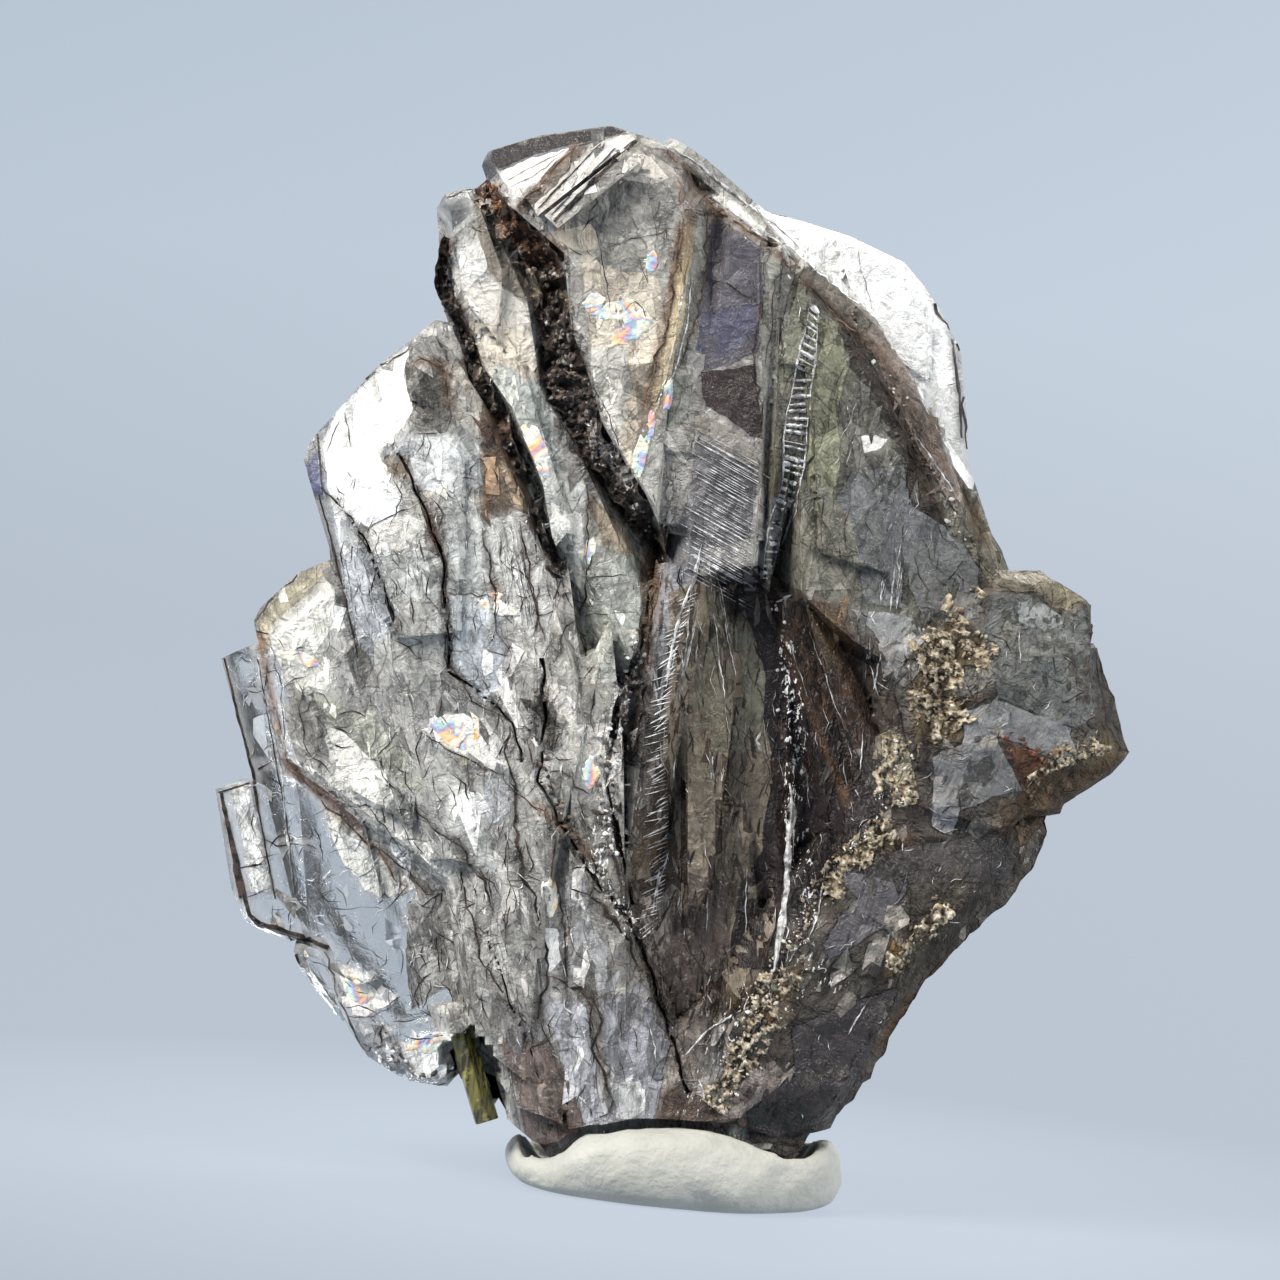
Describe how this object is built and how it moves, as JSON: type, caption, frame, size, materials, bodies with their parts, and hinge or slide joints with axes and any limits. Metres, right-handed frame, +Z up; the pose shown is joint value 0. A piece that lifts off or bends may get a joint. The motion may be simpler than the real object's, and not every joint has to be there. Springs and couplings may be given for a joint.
{
  "type": "axinite crystal specimen",
  "caption": "Fan of wedge-edged glassy axinite blades with a broken lobe at one side and a small epidote prism, standing upright in a lump of mounting putty.",
  "frame": {"origin": "middle of the putty's flat bottom, on the surface that the specimen stands on", "axes": "+Z up, +X to the right seen from the front, +Y away from the front of the fan"},
  "size_m": [0.0286, 0.0085, 0.033],
  "materials": {
    "axinite": "natural vitreous crystal, clear grey at the left, smoky violet-brown at the middle, frosted grey where broken, with iron-stained fissures",
    "epidote": "dark olive-green striated prism, vitreous",
    "putty": "off-white mineral tack, matt, pressed by hand"
  },
  "bodies": {
    "root": {"axinite_cluster": "axinite", "epidote_prism": "epidote", "mounting_putty": "putty"}
  },
  "joints": []
}
